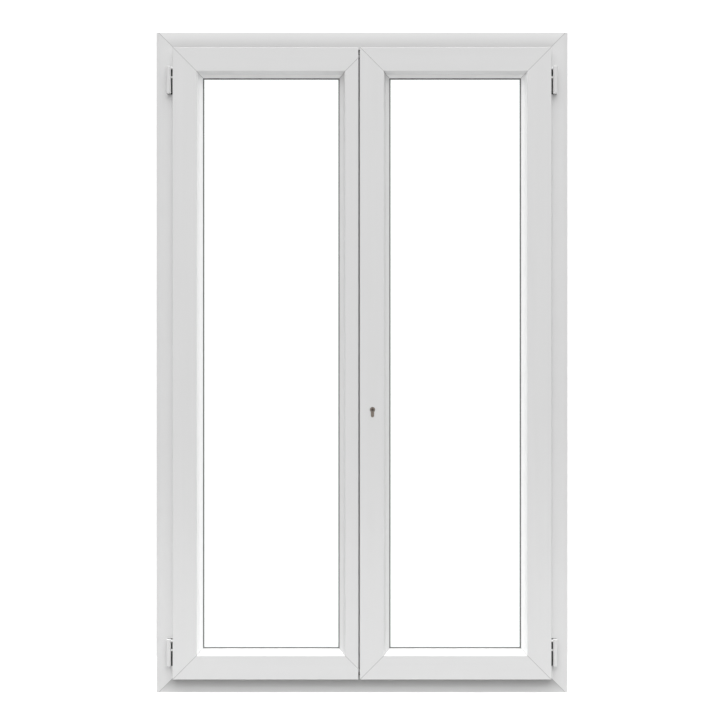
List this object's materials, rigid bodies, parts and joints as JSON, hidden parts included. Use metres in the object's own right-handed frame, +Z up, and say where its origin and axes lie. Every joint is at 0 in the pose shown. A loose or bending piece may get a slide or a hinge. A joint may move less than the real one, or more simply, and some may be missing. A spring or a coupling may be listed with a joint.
{
  "type": "french doors with frame",
  "caption": "Outward-opening glazed double doors in a white frame, with barrel hinges, a keyed multi-point lock, shoot bolts and an inside knob.",
  "frame": {"origin": "middle of the sill's underside, halfway through the frame's depth", "axes": "+Z up, -Y towards outdoors, the side to which both leaves open; +X to the right seen from outdoors"},
  "size_m": [1.34, 0.123, 2.15],
  "materials": {
    "white_pvc": "smooth satin-gloss white",
    "strip_pvc": "smooth white",
    "hinge_white": "white powder coat",
    "handle_white": "white powder coat",
    "galvanised_steel": "galvanised",
    "zinc_hardware": "bright zinc",
    "satin_nickel": "satin nickel",
    "black_gasket": "matt rubber",
    "grey_gasket": "matt rubber",
    "black_plastic": "matt",
    "spacer_aluminium": "mill finish",
    "glass": "clear float glass"
  },
  "bodies": {
    "frame": {"frame_head": "white_pvc", "frame_sill": "white_pvc", "frame_left_jamb": "white_pvc", "frame_right_jamb": "white_pvc", "left_side_strip": "strip_pvc", "right_side_strip": "strip_pvc", "frame_reinforcement": "galvanised_steel", "frame_gasket": "black_gasket", "head_keep": "zinc_hardware", "sill_keep": "zinc_hardware", "hinge_bases": "hinge_white", "hinge_pins": "galvanised_steel", "hinge_packers": "black_plastic"},
    "right_leaf": {"right_top_rail": "white_pvc", "right_bottom_rail": "white_pvc", "right_hinge_stile": "white_pvc", "right_meeting_stile": "white_pvc", "right_glass_front": "glass", "right_glass_rear": "glass", "right_glass_spacer": "spacer_aluminium", "right_glazing_beads": "white_pvc", "right_glazing_gaskets": "grey_gasket", "right_setting_blocks": "black_plastic", "right_reinforcement": "galvanised_steel", "right_overlap_seal": "black_gasket", "right_hinge_arms": "hinge_white", "right_hinge_bushes": "hinge_white", "lock_case": "zinc_hardware", "lock_faceplate": "zinc_hardware", "cylinder_body": "satin_nickel", "cylinder_screw": "zinc_hardware", "handle_plate": "handle_white", "handle_screws": "zinc_hardware"},
    "left_leaf": {"left_top_rail": "white_pvc", "left_bottom_rail": "white_pvc", "left_hinge_stile": "white_pvc", "left_meeting_stile": "white_pvc", "left_glass_front": "glass", "left_glass_rear": "glass", "left_glass_spacer": "spacer_aluminium", "left_glazing_beads": "white_pvc", "left_glazing_gaskets": "grey_gasket", "left_setting_blocks": "black_plastic", "left_reinforcement": "galvanised_steel", "left_overlap_seal": "black_gasket", "left_hinge_arms": "hinge_white", "left_hinge_bushes": "hinge_white", "strike_plate": "zinc_hardware", "meeting_cover": "white_pvc", "meeting_seal": "black_gasket", "left_bolt_guides": "zinc_hardware"},
    "handle": {"handle_knob": "handle_white", "handle_spindle": "zinc_hardware"},
    "key_plug": {"cylinder_plug": "satin_nickel"},
    "deadbolt": {"deadbolt": "zinc_hardware"},
    "latch_bolt": {"latch_bolt": "zinc_hardware"},
    "upper_rod": {"upper_rod": "zinc_hardware"},
    "lower_rod": {"lower_rod": "zinc_hardware"},
    "left_top_bolt": {"left_top_bolt": "zinc_hardware"},
    "left_bottom_bolt": {"left_bottom_bolt": "zinc_hardware"}
  },
  "joints": [
    {"name": "right_leaf_swing", "type": "hinge", "parent": "frame", "child": "right_leaf", "pos_m": [0.628, -0.045, 1], "axis": [0, 0, 1], "range_deg": [0, 105]},
    {"name": "left_leaf_swing", "type": "hinge", "parent": "frame", "child": "left_leaf", "pos_m": [-0.628, -0.045, 1], "axis": [0, 0, -1], "range_deg": [0, 105]},
    {"name": "knob_turn", "type": "hinge", "parent": "right_leaf", "child": "handle", "pos_m": [0.034, 0.03, 1.014], "axis": [0, -1, 0], "range_deg": [0, 90]},
    {"name": "upper_rod_slide", "type": "slide", "parent": "right_leaf", "child": "upper_rod", "axis": [0, 0, 1], "range_m": [0, 0.02]},
    {"name": "lower_rod_slide", "type": "slide", "parent": "right_leaf", "child": "lower_rod", "axis": [0, 0, -1], "range_m": [0, 0.02]},
    {"name": "key_turn", "type": "hinge", "parent": "right_leaf", "child": "key_plug", "pos_m": [0.034, -0.02, 0.922], "axis": [0, 1, 0], "range_deg": [0, 360]},
    {"name": "deadbolt_slide", "type": "slide", "parent": "right_leaf", "child": "deadbolt", "axis": [-1, 0, 0], "range_m": [0, 0.02]},
    {"name": "latch_slide", "type": "slide", "parent": "right_leaf", "child": "latch_bolt", "axis": [-1, 0, 0], "range_m": [0, 0.018]},
    {"name": "left_top_bolt_slide", "type": "slide", "parent": "left_leaf", "child": "left_top_bolt", "axis": [0, 0, 1], "range_m": [0, 0.02]},
    {"name": "left_bottom_bolt_slide", "type": "slide", "parent": "left_leaf", "child": "left_bottom_bolt", "axis": [0, 0, -1], "range_m": [0, 0.02]}
  ],
  "couplings": [
    {"joint": "upper_rod_slide", "follows": "knob_turn", "m_per_rad": 0.012731},
    {"joint": "lower_rod_slide", "follows": "knob_turn", "m_per_rad": 0.012731},
    {"joint": "deadbolt_slide", "follows": "key_turn", "m_per_rad": 0.003182}
  ]
}
